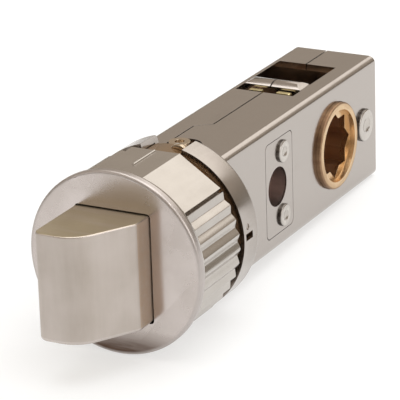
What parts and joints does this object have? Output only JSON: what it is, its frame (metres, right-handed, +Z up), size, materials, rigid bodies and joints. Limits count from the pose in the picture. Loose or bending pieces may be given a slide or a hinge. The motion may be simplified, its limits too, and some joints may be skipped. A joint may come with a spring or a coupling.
{
  "type": "tubular door latch",
  "caption": "Drive-in tubular door latch with a round faceplate, bevelled spring bolt, fluted collar and a sheet case carrying a spindle hub.",
  "frame": {"origin": "centre of the faceplate disc's front face, where the bolt leaves the door edge", "axes": "+X out of the door edge, the way the bolt points; +Y the bevel's side, along the spindle; +Z up"},
  "size_m": [0.0895, 0.029, 0.029],
  "materials": {
    "nickel_polished": "polished",
    "nickel_collar": "bright",
    "nickel_satin": "satin",
    "nickel_bolt": "satin",
    "nickel_rivet": "satin",
    "bronze_gold": "satin",
    "bronze_dark": "satin",
    "zinc_yellow": "satin",
    "steel_plain": "satin",
    "spring_steel": "satin"
  },
  "bodies": {
    "latch_case": {"faceplate_disc": "nickel_polished", "fluted_collar": "nickel_collar", "guide_sleeve": "bronze_dark", "case_near_half": "nickel_satin", "case_far_half": "nickel_satin", "bolt_spring": "spring_steel", "spring_seat": "steel_plain", "through_block": "nickel_satin", "block_rivet_upper": "nickel_rivet", "block_rivet_lower": "nickel_rivet", "rear_rivet": "nickel_rivet", "rear_spacer": "steel_plain", "sleeve_key_near": "bronze_dark", "sleeve_key_far": "bronze_dark", "sleeve_lug": "nickel_rivet", "sleeve_pin": "nickel_rivet"},
    "bolt": {"latch_bolt": "nickel_bolt", "retractor_strap": "zinc_yellow", "strap_rivet_upper": "steel_plain", "strap_rivet_lower": "steel_plain", "spring_guide": "steel_plain"},
    "hub": {"hub": "bronze_gold"}
  },
  "joints": [
    {"name": "bolt_slide", "type": "slide", "parent": "latch_case", "child": "bolt", "axis": [-1, 0, 0], "range_m": [0, 0.01208], "stiffness_N_per_m": 1000, "springref_m": -0.004, "deforming": ["bolt_spring"]},
    {"name": "hub_turn", "type": "hinge", "parent": "latch_case", "child": "hub", "pos_m": [-0.0606, 0, 0], "axis": [0, -1, 0], "range_deg": [0, 80]}
  ],
  "couplings": [
    {"joint": "hub_turn", "follows": "bolt_slide", "rad_per_m": 115.58}
  ]
}
